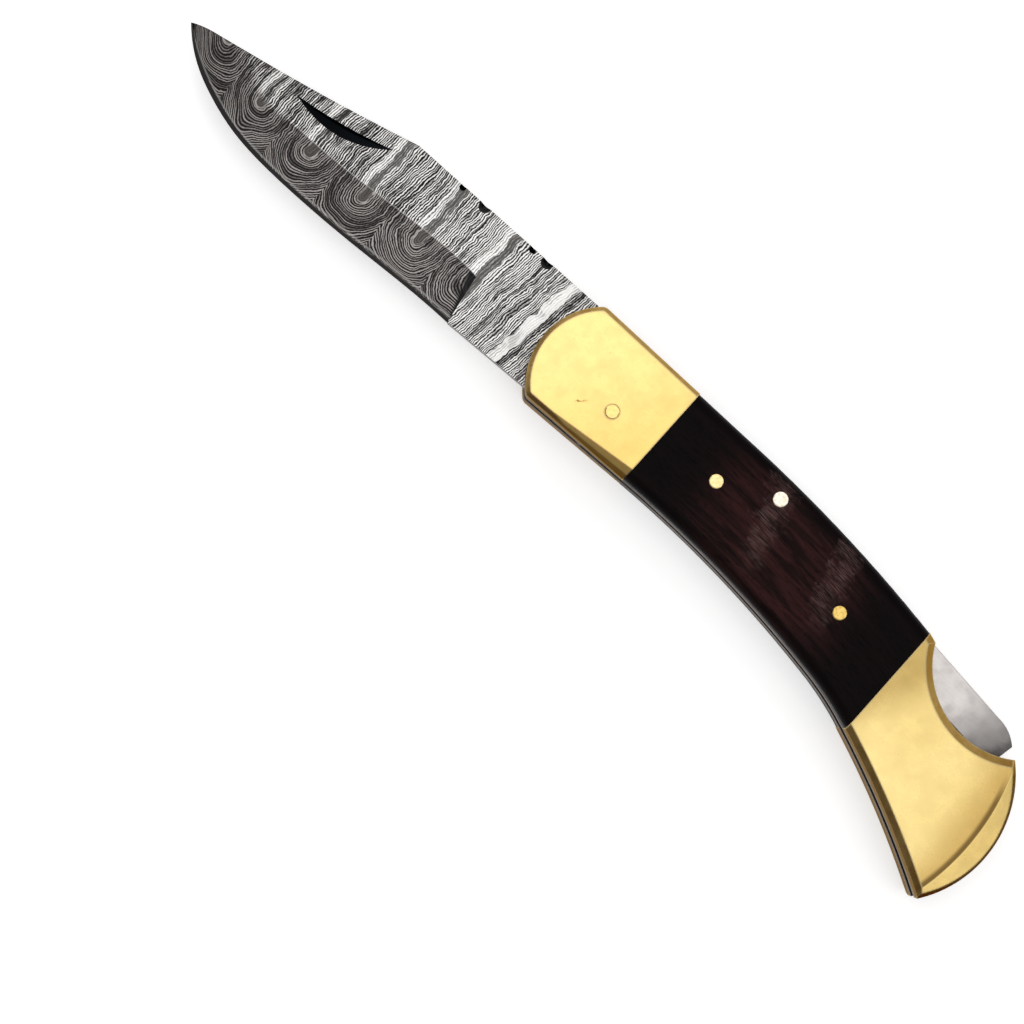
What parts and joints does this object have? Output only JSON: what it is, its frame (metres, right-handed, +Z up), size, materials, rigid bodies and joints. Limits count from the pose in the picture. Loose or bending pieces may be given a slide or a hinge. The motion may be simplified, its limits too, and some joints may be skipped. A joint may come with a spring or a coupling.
{
  "type": "folding pocket knife",
  "caption": "Folding lock-back pocket knife with a clip-point blade, brass bolsters, dark wood scales and a rocker lock bar in a thumb notch at the back.",
  "frame": {"origin": "on the blade's pivot axis, in the plane of the far side's bolster and scale faces, on which the open knife lies", "axes": "+X along the handle to the butt, with the open blade's tip at -X; +Y to the back of the handle; +Z up through the thickness to the side with the nail nick"},
  "size_m": [0.2177, 0.0437, 0.0152],
  "materials": {
    "blade_steel": "etched pattern-welded steel",
    "lock_steel": "satin",
    "spring_steel": "blued spring steel",
    "spacer_steel": "satin",
    "liner_metal": "satin",
    "bolster_brass": "polished",
    "scale_wood": "oiled and polished",
    "pin_brass": "polished",
    "rocker_pin_metal": "polished"
  },
  "bodies": {
    "handle": {"left_liner": "liner_metal", "right_liner": "liner_metal", "left_front_bolster": "bolster_brass", "right_front_bolster": "bolster_brass", "left_scale": "scale_wood", "right_scale": "scale_wood", "left_rear_bolster": "bolster_brass", "right_rear_bolster": "bolster_brass", "rear_spacer": "spacer_steel", "lock_spring": "spring_steel", "pivot_pin": "pin_brass", "rocker_pin": "rocker_pin_metal", "upper_spacer_pin": "pin_brass", "lower_spacer_pin": "pin_brass", "spring_pin": "pin_brass", "left_front_scale_pin": "pin_brass", "right_front_scale_pin": "pin_brass", "left_rear_scale_pin": "pin_brass", "right_rear_scale_pin": "pin_brass"},
    "blade": {"blade": "blade_steel"},
    "lock_bar": {"lock_bar": "lock_steel"}
  },
  "joints": [
    {"name": "blade_fold", "type": "hinge", "parent": "handle", "child": "blade", "pos_m": [0, 0, 0.0076], "axis": [0, 0, 1], "range_deg": [0, 169]},
    {"name": "lock_press", "type": "hinge", "parent": "handle", "child": "lock_bar", "pos_m": [0.0346, 0.009, 0.0076], "axis": [0, 0, -1], "range_deg": [-1.2, 3.7], "stiffness_Nm_per_rad": 2, "springref_deg": -1.2, "deforming": ["lock_spring"]}
  ]
}
